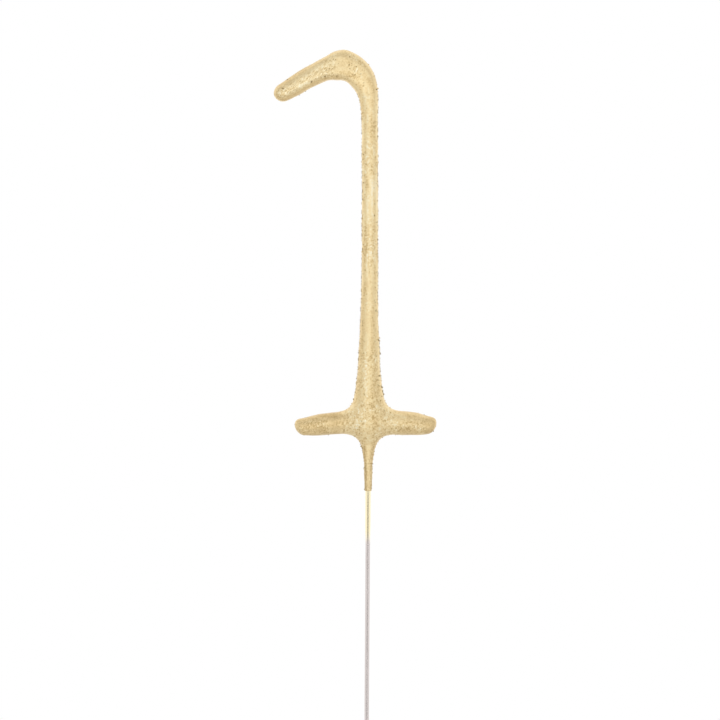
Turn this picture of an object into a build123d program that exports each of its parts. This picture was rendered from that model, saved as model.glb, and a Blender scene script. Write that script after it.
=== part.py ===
from build123d import *
from math import radians, tan
import os

# Sizes are in mm. The tip of the stick is at the origin, the stem stands along Z, and the
# numeral lies in the XZ plane with its flag towards -X and its front towards -Y.
total_length = 177.5
figure_height = 89.5
wire_diameter = 1.1

# The numeral turns over in a round bend and falls away as the flag. The stem wire inside it
# is bent in two steps, as round the two pins of a jig.
bend_radius = 7.65
flag_fall = 29.9
flag_length = 10.3
pin_bend_radius = 1.6

# The foot wire crosses behind the stem and is pressed into it by a spot weld.
foot_left = 17.2
foot_right = 15.7
foot_end_cover = 1.8
foot_wire_drop = 0.3
weld_set_down = 0.2

# The second dip ends below the foot, the first runs on past it, and the lacquer past both.
second_dip_run = 6.9
first_dip_run = 6.2
lacquer_run = 11.9

# The first dip is an even coat. The lacquer shows as a film of its own below the second dip.
first_dip_coat = 0.25
lacquer_film = 0.12
lacquer_feather = 1.5

# Crust of both dips over the wire: in the shaft, in the flag, and along the foot.
shaft_crust = 1.31
flag_crust = 2.05
flag_tip_crust = 1.69
foot_crust = 2.18
foot_end_crust = 1.4
foot_full_reach = 10.3

# The crust gathers in a long swelling above the foot, round the crossing and in the bend.
neck_edge_crust = 0.5
swelling_crust = 2.48
swelling_height = 8.0
swelling_length = 22.6
swelling_rounding = 12.0
crossing_fillet = 4.0
bend_swelling = 1.25
bend_swelling_depth = 0.6
bend_lean = 1.35
bend_sections = 7

wire_radius = wire_diameter / 2
first_dip_radius = wire_radius + first_dip_coat
shaft_radius = wire_radius + shaft_crust
flag_radius = wire_radius + flag_crust
flag_tip_radius = wire_radius + flag_tip_crust
foot_radius = wire_radius + foot_crust
foot_end_radius = wire_radius + foot_end_crust

foot_bottom = total_length - figure_height
foot_wire_height = foot_bottom + foot_radius - foot_wire_drop
foot_wire_back = wire_diameter - weld_set_down
foot_wire_length = foot_left + foot_right - 2 * foot_end_cover
second_dip_bottom = foot_bottom - second_dip_run
first_dip_bottom = second_dip_bottom - first_dip_run
lacquer_bottom = first_dip_bottom - lacquer_run
swelling_top = foot_bottom + swelling_height
swelling_end = swelling_top + swelling_length
bend_turn = 90 + flag_fall
bend_run = bend_radius * radians(bend_turn)


def bend_crust(along):
    """Crust in the numeral's plane and across it, at a share of the way through the bend."""
    eased = along * along * (3 - 2 * along)
    body = shaft_crust + (flag_crust - shaft_crust) * eased
    leaned = along**bend_lean
    gathered = (4 * leaned * (1 - leaned)) ** 2
    return body + bend_swelling * gathered, body + bend_swelling_depth * gathered


# The numeral's top is the crust over the bend where it has turned level.
shaft_top = total_length - bend_radius - wire_radius - bend_crust(90 / bend_turn)[0]

# The wire runs straight between its two bends, and its straight lengths touch the round that
# the crust follows.
pin_turn = bend_turn / 2
straight_reach = (bend_radius - pin_bend_radius) * tan(radians(pin_turn / 2))


# Middle of the crust, from the top of the straight shaft to the tip of the flag.
with BuildLine(Plane.XZ) as crust_line:
    bend_line = JernArc((0, shaft_top), (0, 1), bend_radius, bend_turn)
    Line(bend_line @ 1, bend_line @ 1 + (bend_line % 1) * flag_length)
crust_path = crust_line.wire()


def crust_plane(place):
    """Plane across the crust at a distance past the shaft's top, x axis in the numeral's plane."""
    centre = crust_path.position_at(place, position_mode=PositionMode.LENGTH)
    heading = crust_path.tangent_at(place, position_mode=PositionMode.LENGTH)
    return Plane(origin=centre, x_dir=Vector(0, 1, 0).cross(heading), z_dir=heading)


def foot_plane(place, height):
    """Plane across the foot at a distance from the stem, facing along +X."""
    return Plane(origin=(place, foot_wire_back, height), x_dir=(0, 1, 0), z_dir=(1, 0, 0))


# One length of drawn wire: the stick and the core of the shaft, the bend and the flag.
with BuildPart() as stem_wire:
    with BuildLine(Plane.XZ):
        wire_shaft = Line((0, 0), (0, shaft_top + straight_reach))
        first_bend = JernArc(wire_shaft @ 1, wire_shaft % 1, pin_bend_radius, pin_turn)
        wire_slope = Line(first_bend @ 1, first_bend @ 1 + (first_bend % 1) * 2 * straight_reach)
        second_bend = JernArc(wire_slope @ 1, wire_slope % 1, pin_bend_radius, pin_turn)
        Line(second_bend @ 1, second_bend @ 1 + (second_bend % 1) * (straight_reach + flag_length))
    with BuildSketch(Plane.XY):
        Circle(wire_radius)
    sweep()


# The foot wire keeps a shallow saddle in its side where the weld pressed it into the stem.
with BuildPart() as foot_wire:
    with BuildSketch(foot_plane(foot_end_cover - foot_left, foot_wire_height)):
        Circle(wire_radius)
    extrude(amount=foot_wire_length)
    add(stem_wire.part, mode=Mode.SUBTRACT)


# First dip with its wires, as the shape that the second dip closes round.
with BuildPart() as first_dip_body:
    with BuildSketch(Plane.XY.offset(first_dip_bottom)):
        Circle(first_dip_radius)
    extrude(amount=swelling_end - first_dip_bottom)
    with BuildSketch(foot_plane(foot_end_cover - foot_left - first_dip_coat, foot_wire_height)):
        Circle(first_dip_radius)
    extrude(amount=foot_wire_length + 2 * first_dip_coat)


# First dip: an even coat that grips the weld and both wires. It runs up the shaft as far as the
# swelling and further down the neck than the second dip.
with BuildPart() as base_dip:
    add(first_dip_body.part)
    add(stem_wire.part, mode=Mode.SUBTRACT)
    add(foot_wire.part, mode=Mode.SUBTRACT)


# Second dip: the thick crust that gives the numeral its shape.
with BuildPart() as top_dip:
    # The shaft swells towards the foot and tapers below it to the dip's edge on the neck.
    with BuildSketch(Plane.XZ):
        with BuildLine():
            Polyline(
                (0, second_dip_bottom),
                (wire_radius + neck_edge_crust, second_dip_bottom),
                (wire_radius + swelling_crust, swelling_top),
                (shaft_radius, swelling_end),
                (shaft_radius, shaft_top),
                (0, shaft_top),
                close=True,
            )
        make_face()
        fillet(vertices().sort_by(Axis.X)[-1], swelling_rounding)
    revolve(axis=Axis.Z)

    # The foot is full on both sides of the stem, and the crust fills the corners between them.
    with BuildSketch(foot_plane(-foot_full_reach, foot_bottom + foot_radius)):
        Circle(foot_radius)
    extrude(amount=2 * foot_full_reach)
    fillet(edges(Select.NEW), crossing_fillet)

    # Each arm tapers over a flat underside to a round end.
    for root, end in (
        (-foot_full_reach, foot_end_radius - foot_left),
        (foot_full_reach, foot_right - foot_end_radius),
    ):
        with BuildSketch(foot_plane(root, foot_bottom + foot_radius)):
            Circle(foot_radius)
        with BuildSketch(foot_plane(end, foot_bottom + foot_end_radius)):
            Circle(foot_end_radius)
        loft(ruled=True)
        with Locations((end, foot_wire_back, foot_bottom + foot_end_radius)):
            Sphere(foot_end_radius)

    # The bend is thickest where it turns over, and is deeper in its own plane than across it.
    for number in range(bend_sections):
        along = number / (bend_sections - 1)
        in_plane, across = bend_crust(along)
        with BuildSketch(crust_plane(along * bend_run)):
            with BuildLine():
                for first_angle in (0, 180):
                    EllipticalCenterArc(
                        (0, 0), wire_radius + in_plane, wire_radius + across, first_angle, arc_size=180
                    )
            make_face()
    loft()

    # The flag narrows to a round tip.
    with BuildSketch(crust_plane(bend_run)):
        Circle(flag_radius)
    with BuildSketch(crust_plane(crust_path.length)):
        Circle(flag_tip_radius)
    loft(ruled=True)
    with Locations(crust_path @ 1):
        Sphere(flag_tip_radius)
    add(first_dip_body.part, mode=Mode.SUBTRACT)
    add(stem_wire.part, mode=Mode.SUBTRACT)


# Lacquer: the film that ran on below the second dip, over the neck and the top of the stick.
with BuildPart() as lacquer_sleeve:
    with BuildSketch(Plane.XZ):
        with BuildLine():
            Polyline(
                (wire_radius, lacquer_bottom),
                (wire_radius + lacquer_film, lacquer_bottom + lacquer_feather),
                (wire_radius + lacquer_film, first_dip_bottom - lacquer_film),
                (first_dip_radius, first_dip_bottom - lacquer_film),
                (first_dip_radius + lacquer_film, first_dip_bottom),
                (first_dip_radius + lacquer_film, second_dip_bottom),
                (first_dip_radius, second_dip_bottom),
                (first_dip_radius, first_dip_bottom),
                (wire_radius, first_dip_bottom),
                close=True,
            )
        make_face()
    revolve(axis=Axis.Z)


os.makedirs("parts", exist_ok=True)
stem_wire.part.label = "stem_wire"
export_step(stem_wire.part, "parts/stem_wire.step")
foot_wire.part.label = "foot_wire"
export_step(foot_wire.part, "parts/foot_wire.step")
base_dip.part.label = "base_dip"
export_step(base_dip.part, "parts/base_dip.step")
top_dip.part.label = "top_dip"
export_step(top_dip.part, "parts/top_dip.step")
lacquer_sleeve.part.label = "lacquer_sleeve"
export_step(lacquer_sleeve.part, "parts/lacquer_sleeve.step")
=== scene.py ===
# %% [markdown]
# # A numeral-one sparkler
# A cake sparkler starts as a frame of thin steel wire. It is dipped in a slurry of spark
# composition, dried, dipped again and sprayed with gold lacquer. This lesson takes the CAD model
# of those layers as a frame and gives each layer the surface that its making leaves behind.
# The frame is in metres. Lengths are worked out in mm and scaled once, when a piece is made.

import math

import bpy
import numpy as np
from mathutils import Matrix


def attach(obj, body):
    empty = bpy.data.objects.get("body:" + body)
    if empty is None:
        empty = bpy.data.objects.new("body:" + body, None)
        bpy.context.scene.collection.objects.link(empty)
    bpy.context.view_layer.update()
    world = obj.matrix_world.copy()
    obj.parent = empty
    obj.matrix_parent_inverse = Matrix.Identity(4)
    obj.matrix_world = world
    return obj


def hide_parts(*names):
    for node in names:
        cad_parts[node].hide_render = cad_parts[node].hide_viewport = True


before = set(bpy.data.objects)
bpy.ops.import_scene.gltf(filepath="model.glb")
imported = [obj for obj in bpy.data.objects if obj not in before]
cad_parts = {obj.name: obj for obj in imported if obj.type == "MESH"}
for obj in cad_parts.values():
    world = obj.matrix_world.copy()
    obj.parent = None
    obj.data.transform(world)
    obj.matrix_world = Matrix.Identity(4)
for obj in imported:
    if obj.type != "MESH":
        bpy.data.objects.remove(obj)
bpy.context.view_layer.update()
MM = 0.001
print("CAD nodes:", sorted(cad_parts))

# %% [markdown]
# ## The line that the crust follows
# The numeral is one stroke: up the shaft, round the bend, out along the flag. Any point near it can
# be given by three numbers: how far along the stroke it is, how far to its outer side and how far
# behind its plane. Working in those numbers keeps every later size easy to read from a picture.
# The stroke could be a curve object, but as two plain formulas it serves for measuring as well.

# %% Places along the numeral
SHAFT_TOP = 166.44
BEND_RADIUS = 7.65
BEND_TURN = math.radians(119.9)
FLAG_LENGTH = 10.3
BEND_RUN = BEND_RADIUS * BEND_TURN
FLAG_END = BEND_RUN + FLAG_LENGTH
FLAG_HEADING = np.array([-math.sin(BEND_TURN), math.cos(BEND_TURN)])
FLAG_SIDE = np.array([math.cos(BEND_TURN), math.sin(BEND_TURN)])
BEND_CENTRE = np.array([-BEND_RADIUS, SHAFT_TOP])


def stroke_place(points):
    """Distance along the stroke past the shaft's top, distance to its outer side, and depth.

    The angle about the bend's centre tells the shaft, the bend and the flag apart. In the bend the
    distance along is radius times angle. On the straight lengths it is measured along them."""
    flat = points[:, [0, 2]]
    arm = flat - BEND_CENTRE
    angle = np.arctan2(arm[:, 1], arm[:, 0])
    angle = np.where(angle < -math.pi / 2, angle + 2 * math.pi, angle)
    past_bend = arm - BEND_RADIUS * FLAG_SIDE
    limbs = [angle < 0, angle > BEND_TURN]
    along = np.select(limbs, [arm[:, 1], BEND_RUN + past_bend @ FLAG_HEADING], BEND_RADIUS * angle)
    off_bend = np.hypot(*arm.T) - BEND_RADIUS
    side = np.select(limbs, [flat[:, 0], past_bend @ FLAG_SIDE], off_bend)
    return along, side, points[:, 1]


def stroke_point(along, side, depth):
    """The reverse: the point at a distance along, to the outer side and behind the plane. It swings
    about the bend's centre by the distance in the bend over the radius, then goes straight on."""
    angle = np.clip(along, 0, BEND_RUN) / BEND_RADIUS
    straight = along - np.clip(along, 0, BEND_RUN)
    reach = BEND_RADIUS + side
    x = BEND_CENTRE[0] + reach * np.cos(angle) - straight * np.sin(angle)
    z = BEND_CENTRE[1] + reach * np.sin(angle) + straight * np.cos(angle)
    return np.stack([x, depth, z], axis=-1)


print("stroke from", round(-SHAFT_TOP, 1), "to", round(FLAG_END, 1), "mm past the shaft's top")

# %% [markdown]
# ## How thick the crust is
# Slurry runs while it dries. On this piece it gathered over the foot and in the turn of the
# bend, and stayed thin in the shaft. One formula with a few bulges could describe that, but measured
# half-widths, joined by a smooth curve, also give the slightly uneven edges of a dipped thing.

# %% Measured half-widths
# Places along the stroke, and the half-widths there: to the outer side, to the inner side, in depth.
STEPS = np.array([
    -85.3, -84.4, -82.4, -80.4, -78.4, -73, -70, -66.4, -63, -60, -56, -52, -48, -40, -30,
    -20, -12, -6, -2, 2, 6, 9, 11, 12.6, 14.3, 16.5, 20, 24, FLAG_END,
])
OUTER = np.array([
    1.01, 1.08, 1.38, 1.72, 2.1, 3.4, 3.48, 2.97, 2.68, 2.58, 2.36, 2.14, 2.06, 2.0, 1.9,
    1.88, 1.82, 1.78, 1.78, 1.97, 2.98, 3.66, 3.9, 3.45, 2.62, 2.44, 2.54, 2.24, 2.0,
])
INNER = np.array([
    0.98, 1.07, 1.34, 1.63, 2.04, 3.3, 3.42, 2.93, 2.54, 2.42, 2.18, 2.06, 1.9, 1.82, 1.82,
    1.9, 1.98, 2.06, 2.32, 3.04, 3.34, 3.18, 3.26, 3.32, 3.1, 2.68, 2.4, 2.44, 2.25,
])
DEEP = np.array([
    1.04, 1.16, 1.43, 1.7, 2.2, 3.3, 3.3, 2.92, 2.6, 2.52, 2.3, 2.12, 2.04, 1.96, 1.92,
    1.92, 1.92, 1.95, 2.05, 2.3, 2.72, 2.97, 3.02, 2.96, 2.83, 2.66, 2.5, 2.36, 2.15,
])


def through(place, places, sizes):
    """Smooth curve through measured sizes: a cubic between neighbours, with the slope at each
    measured place taken from the sizes on both sides of it."""
    slopes = np.gradient(sizes, places)
    low = np.clip(np.searchsorted(places, place) - 1, 0, len(places) - 2)
    gap = places[low + 1] - places[low]
    t = np.clip((place - places[low]) / gap, 0, 1)
    rise = t * t * (3 - 2 * t)
    bow = gap * t * (1 - t) * ((1 - t) * slopes[low] - t * slopes[low + 1])
    return sizes[low] + (sizes[low + 1] - sizes[low]) * rise + bow


print("shaft is", through(np.array([-30.0]), STEPS, OUTER + INNER).round(2), "mm wide at half height")

# %% [markdown]
# ## Shaft, foot and the fillets between them
# Where shaft and foot cross, the slurry filled the corners with round fillets. A boolean union
# would leave a sharp crease there. Instead each limb gets a formula for how far a point is
# outside it, and the two are joined by a rounded minimum, which melts them together as the slurry did.

# %% How far a point is outside the stroke
TIP_REACH = 2.3
EDGE_REACH = 0.25
ROUND_POWER = 2
BEND_FLATNESS = 0.8
FLAT_FROM = 0, 6
FLAT_UNTIL = 14, 20


def fade(value, start, end):
    """0 before start, 1 after end, eased between them: three squares less two cubes of the share."""
    t = np.clip((value - start) / (end - start), 0, 1)
    return t * t * (3 - 2 * t)


def outside_stroke(points):
    """Distance outside the shaft, bend and flag: an oval round the stroke, with its own size on the
    outer side, the inner side and in depth, and half an egg past each end. In the bend the shares
    are added by a higher power, which makes the oval's front and back flatter."""
    along, side, depth = stroke_place(points)
    half = np.where(side > 0, through(along, STEPS, OUTER), through(along, STEPS, INNER))
    deep = through(along, STEPS, DEEP)
    past_tip = np.clip(along - FLAG_END, 0, None) / TIP_REACH
    past_edge = np.clip(STEPS[0] - along, 0, None) / EDGE_REACH
    power = ROUND_POWER + BEND_FLATNESS * fade(along, *FLAT_FROM) * (1 - fade(along, *FLAT_UNTIL))
    oval = np.abs(side / half) ** power + np.abs(depth / deep) ** power
    share = (oval + past_tip**2 + past_edge**2) ** (1 / power)
    return (share - 1) * np.minimum(half, deep)


beside_shaft = np.array([[3.0, 0, 136]])
print("3 mm beside the shaft's middle is", outside_stroke(beside_shaft).round(2), "mm outside it")

# %% How far a point is outside the foot
FOOT_BACK = 0.9
FOOT_X = np.array([-17.3, -15.6, -14, -12, -9, -6, 0, 6, 9, 11, 13, 14.2, 15.8])
FOOT_TOP = np.array([
    92.1, 91.75, 92.1, 92.62, 93.02, 93.35, 93.5, 93.62, 93.5, 93.25, 92.7, 92.35, 91.85,
])
FOOT_BOTTOM = np.array([
    88.2, 87.8, 87.68, 87.68, 87.9, 88.1, 88.1, 88.0, 87.86, 87.92, 88.04, 88.24, 88.6,
])
FOOT_DEPTH = 0.98
FOOT_LEFT_END, FOOT_LEFT_ROUND = -15.2, 2.1
FOOT_RIGHT_END, FOOT_RIGHT_ROUND = 14.1, 1.72
FOOT_RIGHT_SLANT = 0.22


def outside_foot(points):
    """Distance outside the foot: a round bar between its top and bottom lines. The left end is half an
    egg, and the right end is blunt and slanted, so its share grows with the fourth power."""
    x, y, z = points.T
    top = through(x, FOOT_X, FOOT_TOP)
    bottom = through(x, FOOT_X, FOOT_BOTTOM)
    half = (top - bottom) / 2
    past_left = np.clip(FOOT_LEFT_END - x, 0, None) / FOOT_LEFT_ROUND
    rise = z - (top + bottom) / 2
    past_right = np.clip(x - FOOT_RIGHT_END - FOOT_RIGHT_SLANT * rise, 0, None) / FOOT_RIGHT_ROUND
    round_share = (rise / half) ** 2 + ((y - FOOT_BACK) / (FOOT_DEPTH * half)) ** 2
    share = np.sqrt(round_share + past_left**2 + past_right**4)
    return (share - 1) * half


over_foot = np.array([[0, FOOT_BACK, 100.0]])
print("a point 100 mm up is", outside_foot(over_foot).round(2), "mm above the foot")

# %% Shaft and foot melted together
FILLET = 4.3
SLOPE_STEP = 0.03


def outside_crust(points):
    """Rounded minimum of both distances: the smaller one, less the square of how close they are."""
    stroke = outside_stroke(points)
    foot = outside_foot(points)
    overlap = np.clip(FILLET - np.abs(stroke - foot), 0, None)
    return np.minimum(stroke, foot) - overlap**2 / (4 * FILLET)


def outward(points):
    """Slope of the distance, from its change over a small step each way along x, y and z."""
    shifts = np.eye(3) * SLOPE_STEP
    changes = [outside_crust(points + shift) - outside_crust(points - shift) for shift in shifts]
    return np.stack(changes, axis=1) / (2 * SLOPE_STEP)


print("the shaft's middle is", -outside_crust(np.array([[0, 0, 130.0]])).round(2), "mm inside the crust")

# %% [markdown]
# ## From grids to one even skin
# Two grids start the mesh: an oval carried along the stroke and a near circle carried along the foot.
# Joined by a boolean they would keep long, thin faces along the seam, and the fine grain, which
# comes later as moved vertices, needs even ones. So a coarse voxel remesh fuses them, its vertices
# are settled on the crust's formula, and a fine remesh of that skin is settled once more.

# %% Tubes from grids
def tube_faces(rows, columns, first=0):
    """Faces of a tube: each vertex with the next one round it and the two on the next row."""
    row, column = np.meshgrid(np.arange(rows - 1), np.arange(columns), indexing="ij")
    a = row * columns + column
    b = row * columns + (column + 1) % columns
    return (first + np.stack([a, b, b + columns, a + columns], axis=-1)).reshape(-1, 4)


def tube_object(name, grids):
    """Mesh object of one or more closed tubes, each grid a row of rings, with a face over each end."""
    points, faces, count = [], [], 0
    for grid in grids:
        rows, columns, _ = grid.shape
        points.append(grid.reshape(-1, 3))
        faces += tube_faces(rows, columns, count).tolist()
        faces.append((count + np.arange(columns)[::-1]).tolist())
        faces.append((count + (rows - 1) * columns + np.arange(columns)).tolist())
        count += rows * columns
    mesh = bpy.data.meshes.new(name)
    mesh.from_pydata(np.concatenate(points).tolist(), [], faces)
    piece = bpy.data.objects.new(name, mesh)
    bpy.context.collection.objects.link(piece)
    return piece


print("a tube of 3 rings of 8 points has", len(tube_faces(3, 8)), "faces round it")

# %% Grid along the stroke
TURN_STEPS = 64
STROKE_ROWS = 420
END_ROWS = 12
POLE_GAP = 0.02
turn = np.linspace(0, 2 * math.pi, TURN_STEPS, endpoint=False)[None, :]
swing = np.linspace(0, math.pi / 2 - POLE_GAP, END_ROWS)
past_tip = FLAG_END + TIP_REACH * np.sin(swing[1:])
along = np.concatenate([np.linspace(STEPS[0], FLAG_END, STROKE_ROWS), past_tip])[:, None]
narrowing = np.concatenate([np.ones(STROKE_ROWS), np.cos(swing[1:])])[:, None]
half = np.where(np.cos(turn) > 0, through(along, STEPS, OUTER), through(along, STEPS, INNER))
deep = through(along, STEPS, DEEP)
to_side = half * narrowing * np.cos(turn)
to_back = -deep * narrowing * np.sin(turn)
stroke_grid = stroke_point(along + 0 * turn, to_side, to_back)
print("stroke grid:", stroke_grid.shape)

# %% Grid along the foot
FOOT_ROWS = 120
foot_x = np.concatenate([
    FOOT_LEFT_END - FOOT_LEFT_ROUND * np.sin(swing[:0:-1]),
    np.linspace(FOOT_LEFT_END, FOOT_RIGHT_END, FOOT_ROWS),
    FOOT_RIGHT_END + FOOT_RIGHT_ROUND * np.sin(swing[1:]),
])[:, None]
foot_narrowing = np.concatenate([np.cos(swing[:0:-1]), np.ones(FOOT_ROWS), np.cos(swing[1:])])[:, None]
foot_top = through(foot_x, FOOT_X, FOOT_TOP)
foot_bottom = through(foot_x, FOOT_X, FOOT_BOTTOM)
foot_half = (foot_top - foot_bottom) / 2 * foot_narrowing
foot_grid = np.stack([
    foot_x + 0 * turn,
    FOOT_BACK + FOOT_DEPTH * foot_half * np.cos(turn),
    (foot_top + foot_bottom) / 2 + foot_half * np.sin(turn),
], axis=-1)
print("foot grid:", foot_grid.shape)

# %% Fuse the grids
ROUGH_VOXEL = 0.4


def remeshed(piece, voxel):
    """Vertices and faces of the piece after a voxel remesh. The piece itself is removed."""
    remesh = piece.modifiers.new("even facets", "REMESH")
    remesh.mode = "VOXEL"
    remesh.voxel_size = voxel
    mesh = piece.evaluated_get(bpy.context.evaluated_depsgraph_get()).to_mesh()
    points = np.empty(len(mesh.vertices) * 3, np.float32)
    mesh.vertices.foreach_get("co", points)
    faces = np.empty(len(mesh.loops), np.int32)
    mesh.loops.foreach_get("vertex_index", faces)
    bpy.data.objects.remove(piece)
    return points.reshape(-1, 3).astype(float), faces.reshape(-1, 4)


rough_skin, rough_faces = remeshed(tube_object("rough crust", [stroke_grid, foot_grid]), ROUGH_VOXEL)
print("rough skin:", len(rough_skin), "vertices,", len(rough_faces), "faces")

# %% Settle the skin
LONGEST_MOVE = 0.6
LEAST_SLOPE = 0.2
FINE_VOXEL = 0.17


def settled(points, passes):
    """Moves points onto the crust: against the slope, by the distance divided by the slope's square."""
    for _ in range(passes):
        slope = outward(points)
        move = outside_crust(points) / np.clip((slope**2).sum(axis=1), LEAST_SLOPE, None)
        points = points - np.clip(move, -LONGEST_MOVE, LONGEST_MOVE)[:, None] * slope
    return points


def skin_object(name, points, faces):
    """Mesh object from an array of vertices and an array of faces."""
    mesh = bpy.data.meshes.new(name)
    mesh.from_pydata(points.tolist(), [], faces.tolist())
    mesh.shade_smooth()
    piece = bpy.data.objects.new(name, mesh)
    bpy.context.collection.objects.link(piece)
    return piece


filleted = skin_object("filleted crust", settled(rough_skin, passes=5), rough_faces)
skin, faces = remeshed(filleted, FINE_VOXEL)
skin = settled(skin, passes=4)
print("crust skin:", len(skin), "vertices,", len(faces), "faces")

# %% [markdown]
# ## Relief
# The dried slurry is not smooth. It carries slow waves where it ran, sandy grain where it is thick,
# and long smears where the gold coat was wiped thin. Textures could fake this, but at this size the
# edges and the light show real bumps, so the skin's vertices are moved by a lattice noise.

# %% A noise on a lattice
AXIS_FACTORS = 73856093, 19349663, 83492791
SEED_FACTOR = 39916801
MIX_FACTOR = 1274126177
LOW_BITS = 0xFFFF


def lattice_noise(places, seed):
    """A fixed random number between -1 and 1 at every corner of a unit lattice, eased between the
    eight corners round each place. The number comes from the corner's whole coordinates and the
    seed, each times a large odd number, with their bits mixed."""
    corner = np.floor(places).astype(np.int64)
    part = places - corner
    ease = part * part * (3 - 2 * part)
    total = np.zeros(len(places))
    for step in np.ndindex(2, 2, 2):
        x, y, z = ((corner + step) * AXIS_FACTORS).T
        mixed = x ^ y ^ z ^ (seed * SEED_FACTOR)
        mixed = (mixed ^ (mixed >> 13)) * MIX_FACTOR
        number = 2 * ((mixed ^ (mixed >> 16)) & LOW_BITS) / LOW_BITS - 1
        total += number * np.prod(np.where(step, ease, 1 - ease), axis=1)
    return total


def layered_noise(places, layers):
    """Noises added up, each layer with its cell in mm, its weight and its seed."""
    return sum(weight * lattice_noise(places / cell, seed) for cell, weight, seed in layers)


def noise_columns(places, cell, seeds):
    """Noises side by side, one column for each seed, all with the same cell in mm."""
    return np.stack([lattice_noise(places / cell, seed) for seed in seeds], axis=1)


print("noise sample:", lattice_noise(skin[:5], 1).round(2))

# %% [markdown]
# ## Where the crust differs
# No two lengths of a dipped thing look alike. This one is sandy over the foot and in bands along
# the stroke, wiped smooth between them, and calm on its flanks. Each such place is a mask: one
# number from 0 to 1 at every vertex, faded between two limits of a length in mm, or of how squarely
# the skin faces the front. A mask could be painted by hand, but one that is worked out stays in its
# place when a size changes, and serves relief and colour.

# %% Parts of the skin
MID_HEIGHT = 120
place, side, depth = stroke_place(skin)
x, _, z = skin.T
left = x < 0
upper = z > MID_HEIGHT

# How squarely the skin faces the front or the back: 1 in the middle, 0 at the edges.
normal = outward(skin)
normal /= np.linalg.norm(normal, axis=1)[:, None]
facing = np.abs(normal[:, 1])

# The crust is thick at the foot, and the stroke begins where the foot ends.
near_foot = np.clip(outside_foot(skin), 0, None)
thick = 1 - fade(near_foot, 0.5, 17)
on_stroke = fade(near_foot, 0.3, 2.5)
lower_shaft = fade(near_foot, 1, 6) * (1 - fade(near_foot, 22, 45))

# Past the shaft's top the stroke turns over, and then comes the flag.
over = fade(place, 0, 8) * upper
on_flag = fade(place, 10, 17) * upper
flag_top = on_flag * fade(side, 0.2, 1.2)
print("share of the skin past the turn:", over.mean().round(2), "and on the flag:", on_flag.mean().round(2))

# %% Parts of the foot
LEFT_FLANK_SHADE, RIGHT_FLANK_SHADE = 0.8, 0.6
below_foot = 1 - fade(z, 84, 89)
# Painted shade: below the foot the crust is darker towards its edges, on the left side by x and on the
# right by how little it faces the front.
left_flank_shade = LEFT_FLANK_SHADE * fade(-x, 0.15, 0.7)
right_flank_shade = RIGHT_FLANK_SHADE * (1 - fade(facing, 0.6, 1))
flank_shade = below_foot * np.where(left, left_flank_shade, right_flank_shade)
on_arms = fade(np.abs(x), 4.5, 8) * (z < 100)
arm_top = on_arms * fade(z, 91.3, 92.7)
upper_arm = on_arms * fade(z, 90.3, 91.9)
right_facet = on_arms * fade(x, 12.9, 13.7)
print("share of the skin on the arms:", on_arms.mean().round(2))

# %% Smears and wiped patches
FOOT_MIDDLE = 91
SMEAR_LENGTH, SMEAR_WIDTH = 3.4, 0.6
COARSE_SHARE, FINE_SHARE = 0.65, 0.35
FINER = 2.1
WIPED_PATCH, SMEAR_PULL = 3.2, 0.4


def drawn_out(run, offset, back, seed):
    """Noise drawn out along a run: long, narrow cells, with a finer noise of the same kind added."""
    cells = np.stack([run / SMEAR_LENGTH, offset / SMEAR_WIDTH, back / SMEAR_WIDTH], axis=1)
    coarse = lattice_noise(cells, seed)
    fine = lattice_noise(cells * FINER, seed + 7)
    return COARSE_SHARE * coarse + FINE_SHARE * fine


smears = on_stroke * drawn_out(place, side, depth, 3)
smears += (1 - on_stroke) * drawn_out(x, z - FOOT_MIDDLE, depth, 3)
wiped = fade(lattice_noise(skin / WIPED_PATCH, 4) + SMEAR_PULL * smears, -0.45, 0.3)
print("share of the skin that is wiped:", (wiped > 0.5).mean().round(2))

# %% Sandy places
# Places along the stroke, and how sandy it is there.
SAND_STEPS = np.array([
    -84, -62, -54, -46, -39, -35.5, -32, -27, -19, -15, -11, -4, 4, 12, 18, FLAG_END,
])
STROKE_SAND = np.array([
    0.5, 0.55, 0.42, 0.28, 0.5, 0.58, 0.55, 0.35, 0.5, 1.05, 0.85, 0.65, 0.42, 0.36, 0.35, 0.4,
])

# Layers of noise, here and below: cell in mm, weight, seed.
CLUMPS = (2.6, 1, 13), (1.1, 0.6, 14)


def less(mask, share):
    """A factor that is 1 outside the mask and lower by a share inside it."""
    return 1 - share * mask


# Over the foot the sand lies fairly evenly, and on its arms in clumps.
clumps = fade(layered_noise(skin, CLUMPS), -0.5, 0.4)
even = 0.2 + 0.45 * (1 - on_arms)
foot_sand = (1 - fade(near_foot, 0.5, 11)) * (0.3 + 0.7 * fade(facing, 0.3, 0.85))
stroke_sand = through(place, SAND_STEPS, STROKE_SAND) * less(on_arms, 0.5)
flag_sand = 0.6 * on_flag * fade(facing, 0.72, 0.95)
sandy = np.maximum(foot_sand * (even + (1 - even) * clumps), stroke_sand * (1.4 - 0.8 * wiped))
sandy = np.maximum(sandy, flag_sand * less(wiped, 0.5))

# The arms' upper faces and right end, the neck, the stroke's sides and the flag's top are smoother.
stroke_sides = on_stroke * (z > FOOT_MIDDLE) * (1 - fade(facing, 0.5, 0.9))
sandy *= 1 - np.maximum(0.7 * upper_arm, 0.85 * right_facet) - 0.3 * below_foot
sandy *= less(stroke_sides, 0.55) * less(flag_top, 0.5)
print("share of the skin that is sandy:", (sandy > 0.4).mean().round(2))

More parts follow.
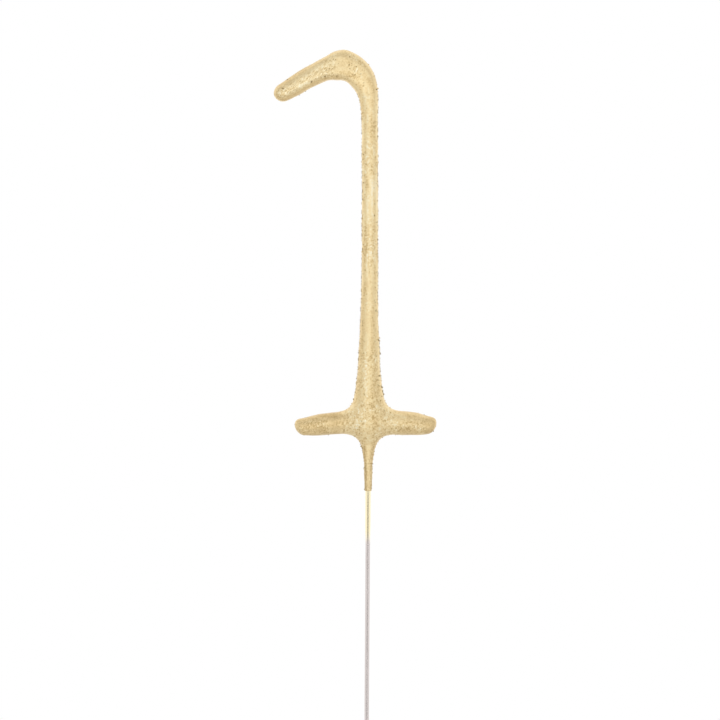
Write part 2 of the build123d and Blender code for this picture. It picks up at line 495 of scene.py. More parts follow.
# %% Waves, grain and flecks
WAVES = (3.1, 0.05, 1), (1.25, 0.03, 2)
SAND = (0.4, 0.55, 6), (0.23, 0.45, 7)
FLECK_CELL, FLECK_STIR = 0.38, 0.3
SMEAR_HEIGHT, SAND_HEIGHT, FLECK_HEIGHT = 0.014, 0.05, 0.03
sand = layered_noise(skin, SAND)
stirred = noise_columns(skin, 0.9, (15, 16, 17))
flecks = lattice_noise((skin + FLECK_STIR * stirred) / FLECK_CELL, 18)
# Pale and dark flecks of the grain, which in the tone also stand in for painted glints and painted shade.
pale_flecks_and_glints = fade(flecks, 0.15, 0.6)
dark_flecks_and_shade = fade(-flecks, 0.3, 0.7)
relief = layered_noise(skin, WAVES) + SMEAR_HEIGHT * smears * less(thick, 0.7)
relief += sandy * (SAND_HEIGHT * sand + FLECK_HEIGHT * pale_flecks_and_glints)
print("waves and grain from", relief.min().round(3), "to", relief.max().round(3), "mm")

# %% Burst bubbles
# Columns: place along the stroke, place to its outer side, radius.
BUBBLES = np.array([
    [26.0, 0.7, 0.26], [24.1, 2.0, 0.24], [19.4, -1.35, 0.26], [16.1, -1.8, 0.28],
    [12.4, -2.6, 0.22], [9.3, -2.8, 0.2], [14.9, -0.6, 0.16], [14.1, -0.5, 0.17],
    [13.3, -0.6, 0.16], [13.0, 1.5, 0.16], [12.5, 1.3, 0.16], [9.9, 2.4, 0.17],
    [9.5, 0.5, 0.15], [9.0, -0.2, 0.16], [8.0, 0.9, 0.15], [7.7, -1.2, 0.2],
    [7.2, -0.9, 0.15], [6.2, 0.1, 0.16], [4.2, -0.7, 0.16],
])
PIT_DEPTH = 0.14
PIT_FLOOR = 0.3
PIN_HOLE_CELL, PIN_HOLE_SHARE = 0.5, 0.6
bubble_radii = BUBBLES[:, 2]
flat_places = np.stack([place, side], axis=1)
uneven = 0.12 * noise_columns(skin, 0.3, (19, 20))
away = np.linalg.norm((flat_places + uneven)[:, None] - BUBBLES[None, :, :2], axis=2)
bubbles = fade(-away, -bubble_radii, -PIT_FLOOR * bubble_radii).max(axis=1)
pin_holes = fade(lattice_noise(skin / PIN_HOLE_CELL, 8), 0.86, 0.95)
pits = np.maximum(bubbles * (depth < 0), PIN_HOLE_SHARE * pin_holes)
crust_points = skin + (relief - PIT_DEPTH * pits)[:, None] * normal
print("vertices in bubbles:", int((pits > 0.5).sum()))

# %% [markdown]
# ## Tone of the gold
# The tone is one number at every vertex, from 0 for brown to 1 for pale gold, which the finish turns
# into a colour later. It falls on the arms and past the turn. Painted shade darkens the flanks below
# the foot, the shaft's shoulders, the rim of the bend and a line at the crust's lower lip, and a
# painted highlight lifts a line along the shaft. Smears, grain flecks that partly stand in for
# painted glints and shade, and a few long streaks come on top. A painted picture would need the skin
# unwrapped first, and numbers at the vertices don't. More such numbers say where the gold is sandy,
# pitted, thin or scratched.

# %% Tone of each part
MIDDLE_TONE = 0.5
HIGHLIGHT_LEAN = 0.2
LIP_SHADOW_LENGTH = 0.3
# Painted highlight and shade on the lower shaft: lighter along a line where the skin faces the front,
# leaning a little left, and darker on the shoulders beside it.
off_highlight = np.abs(normal[:, 0] + HIGHLIGHT_LEAN)
ridge_highlight = 1 - fade(off_highlight, 0.12, 0.45)
shoulder_shade = fade(off_highlight, 0.35, 0.55) * (1 - fade(off_highlight, 0.7, 0.9))
swelling = lower_shaft * on_stroke
# Painted shade: darker on the bend's outer rim where it turns from the front, and a dark line at the
# crust's lower lip over the neck.
rim_shade = over * (side > 0) * (1 - fade(facing, 0.4, 0.8))
lip_shadow = on_stroke * (1 - fade(place, STEPS[0], STEPS[0] + LIP_SHADOW_LENGTH))

# Each row: a mask, and how far it lifts or lowers the tone. The rows for the flanks, the shoulders,
# the rim and the lip are painted shade, and the ridge row is a painted highlight.
part_tones = (
    (thick, -0.04),
    (over, -0.07),
    (on_flag, -0.05),
    (flank_shade, -0.25),
    (right_facet, -0.08),
    (swelling, -0.05),
    (swelling * ridge_highlight, 0.06),
    (swelling * shoulder_shade * left, -0.08),
    (swelling * shoulder_shade * ~left, -0.04),
    (on_arms * left, -0.13),
    (on_arms * ~left, -0.07),
    (arm_top, -0.07),
    (over * np.clip(side, 0, None), 0.01),
    (over * np.clip(side, None, 0), 0.02),
    (rim_shade, -0.08),
    (lip_shadow, -0.2),
)
tone = MIDDLE_TONE + sum(change * mask for mask, change in part_tones)
print("tone of the parts from", tone.min().round(2), "to", tone.max().round(2))

# %% Tone of smears and grain
SMEAR_TONE = 0.25
PALE_TONE, DARK_TONE, SAND_TONE = 0.26, -0.22, 0.18
tone += SMEAR_TONE * smears * less(thick, 0.6) * less(over, 0.5) * less(lower_shaft, 0.4)
# Grain flecks: the crust's own grain, and partly painted glints (pale) and painted shade (dark).
tone += sandy * (PALE_TONE * pale_flecks_and_glints + DARK_TONE * dark_flecks_and_shade + SAND_TONE * sand)
print("tone with smears and grain from", tone.min().round(2), "to", tone.max().round(2))

# %% Streaks
# Columns: place along the stroke, place to its outer side, half length, half width, change of tone.
STREAKS = np.array([
    [-77.2, 9.3, 0.9, 4.5, -0.1],
    [-76, -3, 2.2, 1.3, 0.1],
    [-75.8, -9, 0.9, 4, -0.13],
    [-75.5, -5.3, 2.2, 1.2, -0.13],
    [-75.5, 1.3, 3.5, 1.2, -0.13],
    [-74.3, 7.5, 0.9, 2.6, 0.18],
    [-66, -0.7, 6, 0.7, 0.12],
    [-43.5, -0.8, 4, 0.7, -0.1],
    [-36.5, -0.85, 4.5, 0.6, -0.18],
    [-36.5, 0.1, 4.5, 0.5, 0.13],
    [-28, 0.6, 5, 0.9, 0.1],
    [-20, -0.75, 5, 0.6, -0.1],
    [-20, 0.45, 5, 0.6, 0.13],
    [-9, 0.5, 9, 0.9, -0.16],
    [2.5, -0.3, 4, 0.7, 0.16],
    [2.5, 1.1, 4, 0.7, -0.18],
    [8.5, -1.4, 4, 0.9, -0.16],
    [21, -1.0, 7, 0.7, 0.14],
])
offsets = (flat_places[:, None] - STREAKS[None, :, :2]) / STREAKS[None, :, 2:4]
tone += (1 - fade(np.linalg.norm(offsets, axis=2), 0.2, 1)) @ STREAKS[:, 4]
print("tone from", tone.min().round(2), "to", tone.max().round(2), "with a mean of", tone.mean().round(2))

# %% Thin gold and scratches
WIPED_SCRATCHES, ARM_SCRATCHES = 0.35, 0.8
face_on = fade(facing, 0.6, 0.95)
thin = fade(place, 5, 18) * upper * face_on
scratched = WIPED_SCRATCHES * (1 - wiped) * (1 - thick) + (on_flag - 0.7 * flag_top) * face_on
scratched += ARM_SCRATCHES * on_arms * fade(-x, 9, 13) * fade(facing, 0.5, 0.9)
print("share of the skin that is scratched:", (scratched > 0.3).mean().round(2))

# %% The crust as an object
PALEST, FOOT_DARKER = 0.78, 0.1


def add_attribute(piece, name, values):
    """One number per vertex, for a material to read."""
    numbers = piece.data.attributes.new(name, "FLOAT", "POINT")
    numbers.data.foreach_set("value", np.ascontiguousarray(values, dtype=np.float32))


crust = skin_object("gold_crust", crust_points * MM, faces)
add_attribute(crust, "tone", np.clip(tone, 0, PALEST - FOOT_DARKER * thick))
add_attribute(crust, "sandy", sandy)
add_attribute(crust, "scratched", np.clip(scratched, 0, 1))
add_attribute(crust, "pit", pits)
add_attribute(crust, "thin", thin)
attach(crust, "root")
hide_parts("top_dip")
print("crust triangles:", 2 * len(faces))

# %% [markdown]
# ## Neck and lacquered wire
# Below the second dip the thin first dip still shows as a rough collar, and the gold lacquer ran
# on down the wire until it thinned out. Both could be turned from a profile with a Screw modifier.
# As grids, circles carried straight up with one radius for each height, their points can take the
# same noise as the crust. The film's lower edge thins to the wire instead of ending in a step.

# %% Circles carried up the wire
def upright_points(heights, radii, rows, columns):
    """Circles carried up the wire, with the radius that belongs to each height."""
    height = np.linspace(heights[0], heights[-1], rows)[:, None]
    angle = np.linspace(0, 2 * math.pi, columns, endpoint=False)[None, :]
    radius = through(height, heights, radii)
    round_grid = [radius * np.cos(angle), radius * np.sin(angle), height + 0 * angle]
    return np.stack(round_grid, axis=-1)


def away_from_wire(points):
    """Directions straight out from the wire: each point without its height, scaled to length 1."""
    flat = points * np.array([1, 1, 0])
    return flat / np.linalg.norm(flat, axis=-1, keepdims=True)


def lacquer_piece(name, grid, bumps):
    """Smooth tube that stands for the lacquer sleeve: a grid, each point moved out by its bump."""
    swollen = grid + bumps.reshape(grid.shape[:2])[..., None] * away_from_wire(grid)
    piece = tube_object(name, [swollen * MM])
    piece.data.shade_smooth()
    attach(piece, "root")
    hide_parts("lacquer_sleeve")
    return piece, swollen


print("straight out at (2, 0, 5) is", away_from_wire(np.array([[2.0, 0, 5]])))

# %% Neck collar
NECK_Z = np.array([74.82, 74.87, 75.0, 75.3, 76, 77, 78, 79, 80, 80.8, 81.6])
NECK_R = np.array([0.7, 0.805, 0.835, 0.85, 0.875, 0.905, 0.94, 0.98, 1.01, 0.98, 0.93])
NECK_GRAIN = (0.34, 0.6, 21), (0.2, 0.4, 22)
NECK_GRAIN_HEIGHT = 0.05
NECK_WAVE = 1.1, 0.03, 23
NECK_GRAIN_FROM = 74.8, 77
NECK_TONE, NECK_GRAIN_TONE, SIDE_SHADE_TONE = 0.42, 0.15, -0.27
NECK_SANDY = 0.35
neck_grid = upright_points(NECK_Z, NECK_R, rows=90, columns=72)
at = neck_grid.reshape(-1, 3)
neck_sand = layered_noise(at, NECK_GRAIN)
neck_bumps = NECK_GRAIN_HEIGHT * neck_sand + layered_noise(at, [NECK_WAVE])
neck_bumps *= fade(at[:, 2], *NECK_GRAIN_FROM)
neck, neck_grid = lacquer_piece("neck_collar", neck_grid, neck_bumps)

# Painted shade: the neck is darker towards both its sides, more on the left, and its gold a little cooler
# there.
neck_side_shade = fade(-at[:, 0], 0.1, 0.55) + 0.6 * fade(at[:, 0], 0.3, 0.8)
neck_tone = NECK_TONE + NECK_GRAIN_TONE * neck_sand + SIDE_SHADE_TONE * neck_side_shade
add_attribute(neck, "tone", np.clip(neck_tone, 0, 1))
add_attribute(neck, "sandy", np.full(len(at), NECK_SANDY))
add_attribute(neck, "thin", 0.3 + 0.7 * neck_side_shade)
print("neck:", len(neck.data.polygons), "faces")

# %% Film on the wire
FILM_Z = np.array([62.3, 63.0, 64.2, 66, 70, 74, 75.2])
FILM_R = np.array([0.556, 0.572, 0.595, 0.61, 0.63, 0.645, 0.645])
RUN_CELL = np.array([0.5, 0.5, 2.6])
RUN_HEIGHT = 0.005
RUNS_FROM = 62.6, 64.5
film_grid = upright_points(FILM_Z, FILM_R, rows=130, columns=48)
at = film_grid.reshape(-1, 3)
film_runs = RUN_HEIGHT * lattice_noise(at / RUN_CELL, 24) * fade(at[:, 2], *RUNS_FROM)
film, _ = lacquer_piece("wire_film", film_grid, film_runs)
print("film:", len(film.data.polygons), "faces")

# %% [markdown]
# ## Iron filings
# The sparks come from iron and magnesium filings in the slurry. Most are buried, and some stand
# out of the skin. Lacquer sprayed from the front and the back gilds the ones that face it, so the
# dark ones are seen along the edges. A particle system could strew them, but one plain mesh exports
# as it is: a twenty-sided grain copied by whole arrays, each copy turned, stretched and half sunk
# in the crust.

# %% Shape of one filing
GOLDEN = (1 + math.sqrt(5)) / 2
filing_corners = np.array([
    [-1, GOLDEN, 0], [1, GOLDEN, 0], [-1, -GOLDEN, 0], [1, -GOLDEN, 0],
    [0, -1, GOLDEN], [0, 1, GOLDEN], [0, -1, -GOLDEN], [0, 1, -GOLDEN],
    [GOLDEN, 0, -1], [GOLDEN, 0, 1], [-GOLDEN, 0, -1], [-GOLDEN, 0, 1],
]) / math.hypot(1, GOLDEN)
filing_faces = np.array([
    [0, 11, 5], [0, 5, 1], [0, 1, 7], [0, 7, 10], [0, 10, 11], [1, 5, 9], [5, 11, 4],
    [11, 10, 2], [10, 7, 6], [7, 1, 8], [3, 9, 4], [3, 4, 2], [3, 2, 6], [3, 6, 8],
    [3, 8, 9], [4, 9, 5], [2, 4, 11], [6, 2, 10], [8, 6, 7], [9, 8, 1],
])


def turned(quarters):
    """Rotation matrices from rows of four numbers, read as unit quaternions."""
    w, x, y, z = (quarters / np.linalg.norm(quarters, axis=1)[:, None]).T
    return np.stack([
        np.stack([1 - 2 * (y * y + z * z), 2 * (x * y - w * z), 2 * (x * z + w * y)], axis=-1),
        np.stack([2 * (x * y + w * z), 1 - 2 * (x * x + z * z), 2 * (y * z - w * x)], axis=-1),
        np.stack([2 * (x * z - w * y), 2 * (y * z + w * x), 1 - 2 * (x * x + y * y)], axis=-1),
    ], axis=1)


print("one filing:", len(filing_corners), "corners,", len(filing_faces), "faces")

# %% Where filings stand out
FLAT_SHARE, EDGE_SHARE = 0.25, 1.75
NECK_LIKELY = 0.3
neck_points = neck_grid.reshape(-1, 3)
ground = np.concatenate([crust_points, neck_points])
ground_out = np.concatenate([normal, away_from_wire(neck_points)])
edge_on = FLAT_SHARE + EDGE_SHARE * (1 - facing) ** 2

# Few stand out past the turn, on the flag and on the foot, and most along the shaft.
strewn = less(over, 0.85) * less(on_flag, 0.9) * less(on_arms, 0.8)
strewn *= (1 + 1.8 * on_stroke * (place < 2)) * (0.4 + 0.6 * fade(near_foot, 1, 6))
likely = np.concatenate([edge_on * strewn, np.full(len(neck_points), NECK_LIKELY)])
likely /= likely.sum()
print("share of filings on the neck:", likely[len(crust_points):].sum().round(3))

# %% Filings in the crust and the neck
FILING_COUNT = 1800
FILING_RADII = 0.07, 0.14
LARGE_SHARE, LARGER = 0.15, 1.5
STRETCH = 0.65, 1.35
DENTS = 0.8, 1.2
STANDING_OUT = -0.3, 0.5
rng = np.random.default_rng(11)
spots = rng.choice(len(ground), FILING_COUNT, replace=False, p=likely)
radii = rng.uniform(*FILING_RADII, FILING_COUNT)
radii *= np.where(rng.random(FILING_COUNT) < LARGE_SHARE, LARGER, 1)
stretch = rng.uniform(*STRETCH, (FILING_COUNT, 1, 3))
dents = rng.uniform(*DENTS, (FILING_COUNT, len(filing_corners), 1))
shapes = (filing_corners[None] * (stretch * dents)) @ turned(rng.normal(size=(FILING_COUNT, 4)))
standing_out = rng.uniform(*STANDING_OUT, FILING_COUNT) * radii
centres = ground[spots] + standing_out[:, None] * ground_out[spots]
filing_points = centres[:, None] + shapes * radii[:, None, None]
first_corners = len(filing_corners) * np.arange(FILING_COUNT)
all_faces = filing_faces[None] + first_corners[:, None, None]
filings = skin_object("filings", filing_points.reshape(-1, 3) * MM, all_faces.reshape(-1, 3))
filings.data.shade_flat()
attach(filings, "root")
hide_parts("top_dip")
print("filings:", FILING_COUNT, "grains,", len(filings.data.polygons), "triangles")

# %% Gilding of the filings
CHANCE, FACING_SPRAY, BARE = 1.1, 0.6, 0.2
gilt = CHANCE * rng.random(FILING_COUNT) + FACING_SPRAY * ground_out[spots][:, 1] ** 2 - BARE
add_attribute(filings, "gilt", np.repeat(np.clip(gilt, 0, 1), len(filing_corners)))
print("share of filings that are mostly gilt:", (gilt > 0.5).mean().round(2))

# %% [markdown]
# ## Gold finish
# The gold is a lacquer full of fine metal flakes over a sandy body: part metal, part paint, and
# rougher where the grain shows. The flakes' noise also paints glints where the grain is sandy.
# Pictures could carry it, but they would need an unwrapped skin. Noise in the object's own space
# holds still from every side, and the numbers stored at the vertices tell it where to be pale,
# brown or scratched, and where painted shade darkens the pits.

# %% Flakes and scratches
FLAKE_SPOT = 0.34, 0.34, 0.34
SCRATCH_SPOT, SCRATCH_LEAN = (0.15, 0.15, 0.9), 40


def finish_of(name, metal, rough):
    """A new material with its shader, ready for colour, and the place of the surface in the object."""
    material = bpy.data.materials.new(name)
    material.use_nodes = True
    tree = material.node_tree
    shader = tree.nodes["Principled BSDF"]
    shader.inputs["Metallic"].default_value = metal
    shader.inputs["Roughness"].default_value = rough
    place_node = tree.nodes.new("ShaderNodeTexCoord")
    return material, tree, shader, place_node.outputs["Object"]


def speckle(tree, where, spot, detail=2.0, lean=0.0):
    """Noise with spots of about the given size in mm along x, y and z. The spots lean from z
    towards x by an angle in degrees."""
    mapping = tree.nodes.new("ShaderNodeMapping")
    mapping.vector_type = "TEXTURE"
    mapping.inputs["Scale"].default_value = [size * MM for size in spot]
    mapping.inputs["Rotation"].default_value = (0, math.radians(lean), 0)
    noise = tree.nodes.new("ShaderNodeTexNoise")
    noise.inputs["Scale"].default_value = 1.0
    noise.inputs["Detail"].default_value = detail
    tree.links.new(where, mapping.inputs["Vector"])
    tree.links.new(mapping.outputs["Vector"], noise.inputs["Vector"])
    return noise.outputs["Fac"]


def remapped(tree, value, low, high, start=0.0, end=1.0):
    """A number moved from the range start to end onto the range low to high."""
    node = tree.nodes.new("ShaderNodeMapRange")
    for name, number in (("From Min", start), ("From Max", end), ("To Min", low), ("To Max", high)):
        node.inputs[name].default_value = number
    tree.links.new(value, node.inputs["Value"])
    return node.outputs["Result"]


gold, tree, shader, where = finish_of("flaked_gold", metal=0.6, rough=0.34)
# The flakes' own spread of colour, which in sandy places also paints glints.
flakes_and_glints = speckle(tree, where, FLAKE_SPOT, detail=4.0)
flakes_and_glints = remapped(tree, flakes_and_glints, low=-1.0, high=1.0, start=0.32, end=0.68)
scratches = speckle(tree, where, SCRATCH_SPOT, lean=SCRATCH_LEAN)
scratches = remapped(tree, scratches, low=-1.0, high=1.0, start=0.3, end=0.7)
print("gold so far:", len(tree.nodes), "nodes")

# %% Shade of the gold
FLAKE_DEPTH = 0.05, 0.24
SCRATCH_DEPTH = 0.0, 0.3


def stored(tree, name):
    """A number stored on the mesh."""
    node = tree.nodes.new("ShaderNodeAttribute")
    node.attribute_name = name
    return node.outputs["Fac"]


def reckoned(tree, operation, *values):
    """One step of arithmetic on sockets or plain numbers."""
    node = tree.nodes.new("ShaderNodeMath")
    node.operation = operation
    for value, socket in zip(values, node.inputs):
        if isinstance(value, float):
            socket.default_value = value
        else:
            tree.links.new(value, socket)
    return node.outputs["Value"]


sandy_here = stored(tree, "sandy")
flake_depth = remapped(tree, sandy_here, *FLAKE_DEPTH)
scratch_depth = remapped(tree, stored(tree, "scratched"), *SCRATCH_DEPTH)
shade = reckoned(tree, "MULTIPLY_ADD", flakes_and_glints, flake_depth, stored(tree, "tone"))
shade = reckoned(tree, "MULTIPLY_ADD", scratches, scratch_depth, shade)
print("gold so far:", len(tree.nodes), "nodes")

# %% Colour of the gold
# Each stop: a place along the number, and a linear colour.
GOLD_SHADES = (
    (0.15, (0.56, 0.393, 0.17)), (0.42, (0.845, 0.654, 0.348)),
    (0.58, (0.9, 0.74, 0.43)), (0.85, (1.0, 0.93, 0.72)),
)
THIN_GOLD = (0.0, (1, 1, 1)), (1.0, (1, 1.04, 1.12))
# Painted shade: darker in the pits.
PIT_SHADE = (0.0, (1, 1, 1)), (0.8, (0.36, 0.29, 0.18))


def colours(tree, value, stops):
    """Colours along a number, mixed straight between the stops."""
    ramp = tree.nodes.new("ShaderNodeValToRGB")
    while len(ramp.color_ramp.elements) < len(stops):
        ramp.color_ramp.elements.new(0.5)
    for element, (position, colour) in zip(ramp.color_ramp.elements, stops):
        element.position = position
        element.color = (*colour, 1)
    tree.links.new(value, ramp.inputs["Fac"])
    return ramp.outputs["Color"]


def tinted(tree, colour, tint):
    """One colour times another."""
    node = tree.nodes.new("ShaderNodeMix")
    node.data_type = "RGBA"
    node.blend_type = "MULTIPLY"
    node.inputs["Factor"].default_value = 1.0
    tree.links.new(colour, node.inputs["A"])
    tree.links.new(tint, node.inputs["B"])
    return node.outputs["Result"]


body = colours(tree, shade, GOLD_SHADES)
body = tinted(tree, body, colours(tree, stored(tree, "thin"), THIN_GOLD))
# Painted shade in the pits.
body = tinted(tree, body, colours(tree, stored(tree, "pit"), PIT_SHADE))
tree.links.new(body, shader.inputs["Base Color"])
print("gold has", len(GOLD_SHADES), "shades and", len(tree.nodes), "nodes")

# %% Grit in the gold
GRIT_SPOT = 0.3, 0.3, 0.3
GRIT_DEPTH = 0.13
GOLD_ROUGH = 0.32, 0.38


def roughened(tree, shader, height, strength, distance):
    """Fine bumps from a height, with the distance in mm."""
    bump = tree.nodes.new("ShaderNodeBump")
    bump.inputs["Strength"].default_value = strength
    bump.inputs["Distance"].default_value = distance * MM
    tree.links.new(height, bump.inputs["Height"])
    tree.links.new(bump.outputs["Normal"], shader.inputs["Normal"])


tree.links.new(remapped(tree, sandy_here, *GOLD_ROUGH), shader.inputs["Roughness"])
grit = reckoned(tree, "MULTIPLY", speckle(tree, where, GRIT_SPOT, detail=3.0), sandy_here)
roughened(tree, shader, grit, strength=1.0, distance=GRIT_DEPTH)
for piece in (crust, neck):
    piece.data.materials.append(gold)
print("gold crust and neck share", gold.name)

# %% [markdown]
# ## Filings, film and wire
# A filing is dull iron, more or less gilt. The film is gold over bright wire, and fades out in a
# ragged edge. The wire is drawn steel, so its fine lines run lengthwise. Flat colours would do from
# afar, but close up the same kind of noise as in the gold shows how each was made.

# %% Filings
GILT_SHADES = (
    (0.0, (0.24, 0.17, 0.07)), (0.25, (0.4, 0.3, 0.12)),
    (0.5, (0.66, 0.51, 0.24)), (1.0, (0.88, 0.72, 0.42)),
)
FILE_MARKS = 0.06, 0.06, 0.06
iron, tree, shader, where = finish_of("filings", metal=0.3, rough=0.5)
tree.links.new(colours(tree, stored(tree, "gilt"), GILT_SHADES), shader.inputs["Base Color"])
roughened(tree, shader, speckle(tree, where, FILE_MARKS), strength=0.3, distance=0.02)
filings.data.materials.append(iron)
print("filings nodes:", len(tree.nodes))

# %% Gilding on the wire
FILM_FADE = 62.6, 66.4
FILM_SHADES = (0.2, (0.76, 0.69, 0.66)), (0.55, (0.95, 0.86, 0.68)), (0.95, (0.99, 0.875, 0.59))
RAGGED_SPOT, RAGGEDNESS = (0.5, 0.5, 1.25), 0.35
FILM_LINES = 0.12, 0.12, 0.8
gilding, tree, shader, where = finish_of("wire_film", metal=0.92, rough=0.1)
upwards = tree.nodes.new("ShaderNodeSeparateXYZ")
tree.links.new(where, upwards.inputs["Vector"])
height = remapped(tree, upwards.outputs["Z"], 0.0, 1.0, *(level * MM for level in FILM_FADE))
ragged = reckoned(tree, "MULTIPLY_ADD", speckle(tree, where, RAGGED_SPOT), RAGGEDNESS, height)
tree.links.new(colours(tree, ragged, FILM_SHADES), shader.inputs["Base Color"])
roughened(tree, shader, speckle(tree, where, FILM_LINES), strength=0.05, distance=0.02)
film.data.materials.append(gilding)
print("film fades out from", FILM_FADE[1], "down to", FILM_FADE[0], "mm")

# %% Drawn steel
STEEL_SHADES = (0.3, (0.64, 0.58, 0.56)), (0.7, (0.77, 0.71, 0.695))
DRAWN_LINES = 0.05, 0.05, 5
HANDLED_SPOT = 1.8, 1.8, 6
STEEL_ROUGH = 0.1, 0.22
steel, tree, shader, where = finish_of("drawn_steel", metal=1.0, rough=0.16)
lines = speckle(tree, where, DRAWN_LINES, detail=3.0)
tree.links.new(colours(tree, lines, STEEL_SHADES), shader.inputs["Base Color"])
handled = speckle(tree, where, HANDLED_SPOT, detail=3.0)
tree.links.new(remapped(tree, handled, *STEEL_ROUGH), shader.inputs["Roughness"])
roughened(tree, shader, lines, strength=0.05, distance=0.01)
print("steel nodes:", len(tree.nodes))

# %% First dip, and the finishes of the CAD nodes
DIP_SHADES = (0.35, (0.16, 0.15, 0.14)), (0.65, (0.34, 0.32, 0.29))
grey_dip, tree, shader, where = finish_of("first_dip", metal=0.1, rough=0.8)
grains = speckle(tree, where, GRIT_SPOT, detail=3.0)
tree.links.new(colours(tree, grains, DIP_SHADES), shader.inputs["Base Color"])
roughened(tree, shader, grains, strength=0.6, distance=0.08)
for name, finish in (("stem_wire", steel), ("foot_wire", steel), ("base_dip", grey_dip)):
    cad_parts[name].data.materials.clear()
    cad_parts[name].data.materials.append(finish)
print("materials:", sorted(m.name for m in bpy.data.materials if m.users))

# %% [markdown]
# ## Floor and light
# The sparkler stands in a white light tent: soft light from all round, as for a catalogue picture. The
# tent is brightest in front and a little below, dimmer at the sides and bright again at the back, so
# that round forms shade off towards their edges. A narrow band just below the horizon is dim in front,
# and the smooth wire mirrors it as a thin dark line. Lamps would do as well, but one formula over
# all directions leaves no hot spots. The floor is pale paper that glows just enough to look white,
# and it keeps the shadow.

# %% White floor
FLOOR_HALF = 180 * MM
FLOOR_GREY = 0.7
FLOOR_GLOW, FLOOR_GLINT = 0.33, 0.1
floor_mesh = bpy.data.meshes.new("floor")
floor_corners = [(sx * FLOOR_HALF, sy * FLOOR_HALF, 0) for sx, sy in ((-1, -1), (1, -1), (1, 1), (-1, 1))]
floor_mesh.from_pydata(floor_corners, [], [(0, 1, 2, 3)])
floor = bpy.data.objects.new("floor", floor_mesh)
bpy.context.collection.objects.link(floor)
paper, tree, shader, _ = finish_of("floor_paper", metal=0.0, rough=0.9)
shader.inputs["Base Color"].default_value = (FLOOR_GREY, FLOOR_GREY, FLOOR_GREY, 1)
shader.inputs["Emission Color"].default_value = (1, 1, 1, 1)
ray = tree.nodes.new("ShaderNodeLightPath").outputs
mirrored = remapped(tree, ray["Is Glossy Ray"], 0.0, FLOOR_GLINT)
seen = reckoned(tree, "MAXIMUM", ray["Is Camera Ray"], ray["Is Transmission Ray"])
brightened = reckoned(tree, "MAXIMUM", mirrored, remapped(tree, seen, 0.0, FLOOR_GLOW))
tree.links.new(brightened, shader.inputs["Emission Strength"])
floor_mesh.materials.append(paper)
print("floor is", round(2 * FLOOR_HALF, 2), "m wide")

# %% Light from the front to the back
TENT_TILT = math.radians(18)
world = bpy.data.worlds.new("light tent")
world.use_nodes = True
bpy.context.scene.world = world
tree = world.node_tree
direction = tree.nodes.new("ShaderNodeTexCoord").outputs["Generated"]
tent_axis = tree.nodes.new("ShaderNodeVectorMath")
tent_axis.operation = "DOT_PRODUCT"
tent_axis.inputs[1].default_value = (0, math.cos(TENT_TILT), math.sin(TENT_TILT))
tree.links.new(direction, tent_axis.inputs[0])
backwards = remapped(tree, tent_axis.outputs["Value"], 0.0, 1.0, -1.0, 1.0)


def levels(tree, value, stops):
    """A level from 0 to 2 along a number, straight between pairs of place and level."""
    curve_node = tree.nodes.new("ShaderNodeFloatCurve")
    points = curve_node.mapping.curves[0].points
    for place_at, level in stops[1:-1]:
        points.new(place_at, level / 2)
    points[0].location = (stops[0][0], stops[0][1] / 2)
    points[-1].location = (stops[-1][0], stops[-1][1] / 2)
    for point in points:
        point.handle_type = "VECTOR"
    curve_node.mapping.update()
    tree.links.new(value, curve_node.inputs["Value"])
    return remapped(tree, curve_node.outputs["Value"], 0.0, 2.0)


# Each stop: a place from 0 in front to 1 at the back, and the level of light there.
TENT_LEVELS = (
    (0.0, 1.35), (0.05, 1.29), (0.15, 0.98), (0.26, 0.79),
    (0.42, 0.73), (0.6, 0.85), (0.76, 1.2), (1.0, 1.2),
)
BAND_LEVELS = (
    (0.0, 0.3), (0.07, 0.3), (0.12, 1.1), (0.4, 1.04), (0.65, 1.04), (0.8, 1.15), (1.0, 1.2),
)
tent_level = levels(tree, backwards, TENT_LEVELS)
band_level = levels(tree, backwards, BAND_LEVELS)
print("tent levels from front to back:", [level for _, level in TENT_LEVELS])

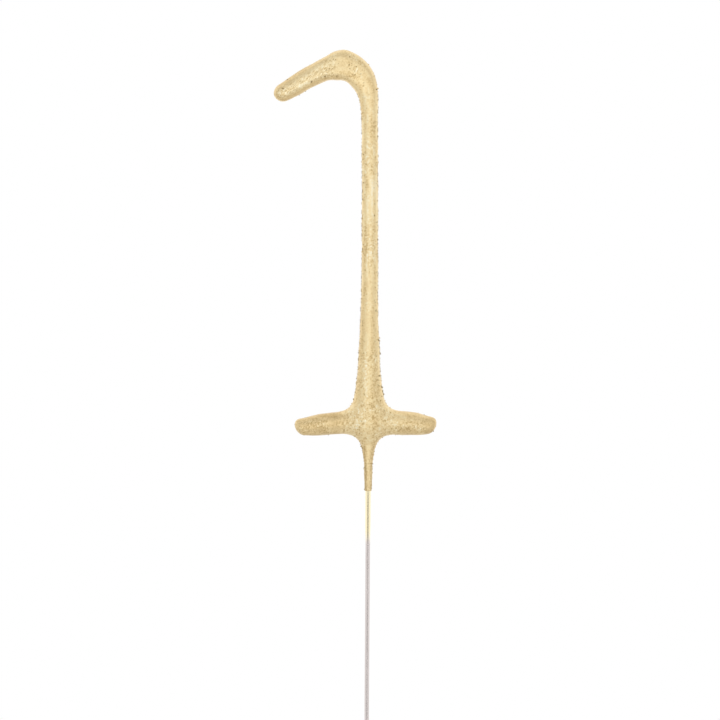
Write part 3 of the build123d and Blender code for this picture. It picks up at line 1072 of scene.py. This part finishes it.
# %% Dim band, and white for the eye
BAND_FOOT = -0.1, -0.085
BAND_HEAD = -0.022, -0.014
WHITE_LEVEL = 1.0
split = tree.nodes.new("ShaderNodeSeparateXYZ")
tree.links.new(direction, split.inputs["Vector"])
band_foot = remapped(tree, split.outputs["Z"], 0.0, 1.0, *BAND_FOOT)
band_head = remapped(tree, split.outputs["Z"], 1.0, 0.0, *BAND_HEAD)
in_band = reckoned(tree, "MULTIPLY", band_foot, band_head)
ray = tree.nodes.new("ShaderNodeLightPath").outputs
seen = reckoned(tree, "MAXIMUM", ray["Is Camera Ray"], ray["Is Transmission Ray"])
tent_light = tree.nodes.new("ShaderNodeMix")
tree.links.new(in_band, tent_light.inputs["Factor"])
tree.links.new(tent_level, tent_light.inputs["A"])
tree.links.new(band_level, tent_light.inputs["B"])
shown = tree.nodes.new("ShaderNodeMix")
shown.inputs["B"].default_value = WHITE_LEVEL
tree.links.new(seen, shown.inputs["Factor"])
tree.links.new(tent_light.outputs["Result"], shown.inputs["A"])
tent = tree.nodes["Background"]
tent.inputs["Color"].default_value = (1, 1, 1, 1)
tree.links.new(shown.outputs["Result"], tent.inputs["Strength"])
print("tent has", len(tree.nodes), "nodes")

# %% [markdown]
# ## Camera
# The picture was taken straight from the front with a long lens, so the numeral's sides stay
# parallel. An orthographic camera would do nearly the same. A lens far away with a narrow view keeps
# the little depth that a real one shows, and a third of a degree of roll stands for the slight lean
# of the stick.

# %% Camera
PICTURE_WIDTH = 168.3
PICTURE_CENTRE = -2.08, 105.4
DISTANCE = 1200.0
ROLL = -0.355
SENSOR = 36.0
camera_data = bpy.data.cameras.new("camera")
camera_data.sensor_width = SENSOR
camera_data.lens = SENSOR * DISTANCE / PICTURE_WIDTH
camera = bpy.data.objects.new("camera", camera_data)
bpy.context.collection.objects.link(camera)
camera.location = (PICTURE_CENTRE[0] * MM, -DISTANCE * MM, PICTURE_CENTRE[1] * MM)
camera.rotation_euler = (math.radians(90), math.radians(ROLL), 0)
bpy.context.scene.camera = camera
bpy.context.scene.view_settings.view_transform = "Standard"
print("lens:", round(camera_data.lens, 1), "mm")
